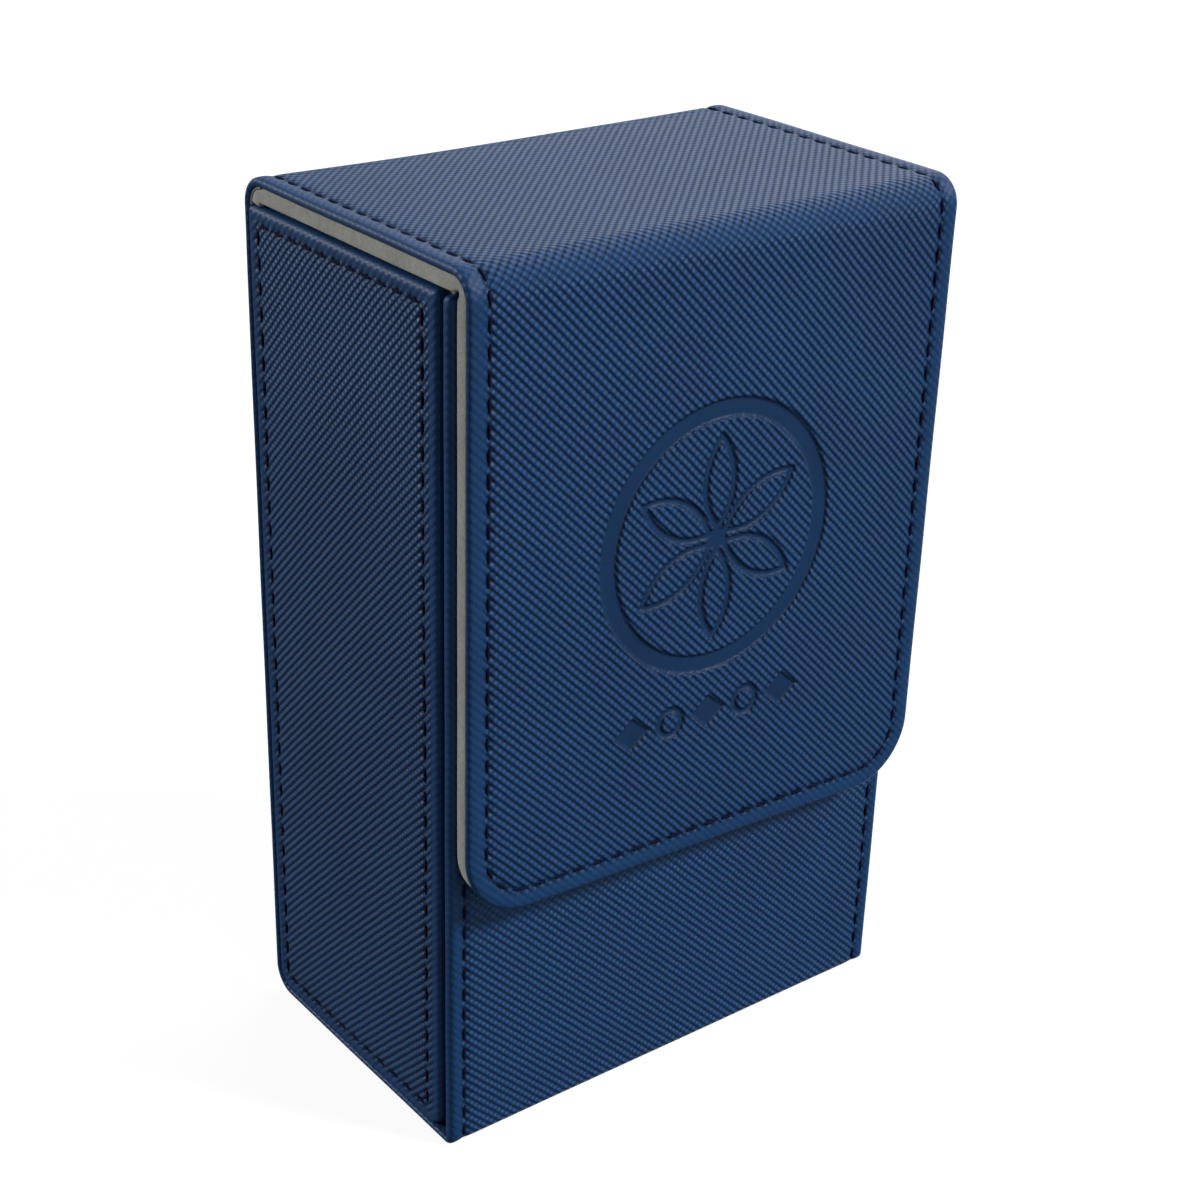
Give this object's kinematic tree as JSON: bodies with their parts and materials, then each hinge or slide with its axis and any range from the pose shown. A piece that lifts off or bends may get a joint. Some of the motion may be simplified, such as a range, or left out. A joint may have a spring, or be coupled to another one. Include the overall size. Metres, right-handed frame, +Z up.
{
  "type": "card deck box",
  "caption": "Upright navy leather-covered card deck box with a wrap-over lid, a front flap held by hidden magnets, stitched edges and a grey microsuede lining.",
  "frame": {"origin": "middle of the closed box's footprint, on the surface it stands on", "axes": "+Z up, -Y is the front with the flap, +X to the right seen from the front"},
  "size_m": [0.0886, 0.0586, 0.143],
  "materials": {
    "leather": "navy cross-grain embossed coated leather, satin",
    "lining": "warm light grey microsuede, matt",
    "thread": "near-black navy bonded thread",
    "greyboard": "raw grey binder's board",
    "magnet": "nickel-plated magnet, hidden",
    "steel_plate": "plain steel disc, hidden"
  },
  "bodies": {
    "box": {"outer_wrap": "leather", "front_board": "greyboard", "back_board": "greyboard", "bottom_board": "greyboard", "left_side_cover": "leather", "right_side_cover": "leather", "left_side_board": "greyboard", "right_side_board": "greyboard", "left_corner_welt": "leather", "right_corner_welt": "leather", "left_lining": "lining", "right_lining": "lining", "front_lining": "lining", "back_lining": "lining", "floor_lining": "lining", "catch_plates": "steel_plate", "left_side_seam": "thread", "right_side_seam": "thread", "left_wrap_seam": "thread", "right_wrap_seam": "thread", "hinge_leather": "leather", "hinge_lining": "lining"},
    "lid": {"lid_cover": "leather", "lid_board": "greyboard", "lid_pad": "lining", "lid_seams": "thread", "fold_leather": "leather", "fold_pad": "lining"},
    "flap": {"flap_cover": "leather", "flap_board": "greyboard", "flap_pad": "lining", "flap_magnets": "magnet", "flap_seam": "thread"}
  },
  "joints": [
    {"name": "lid_hinge", "type": "hinge", "parent": "box", "child": "lid", "pos_m": [0, 0.028, 0.1417], "axis": [-1, 0, 0], "range_deg": [0, 178], "deforming": ["hinge_leather", "hinge_lining"]},
    {"name": "flap_fold", "type": "hinge", "parent": "lid", "child": "flap", "pos_m": [0, -0.028, 0.1417], "axis": [-1, 0, 0], "range_deg": [0, 90], "deforming": ["fold_leather", "fold_pad"]}
  ]
}
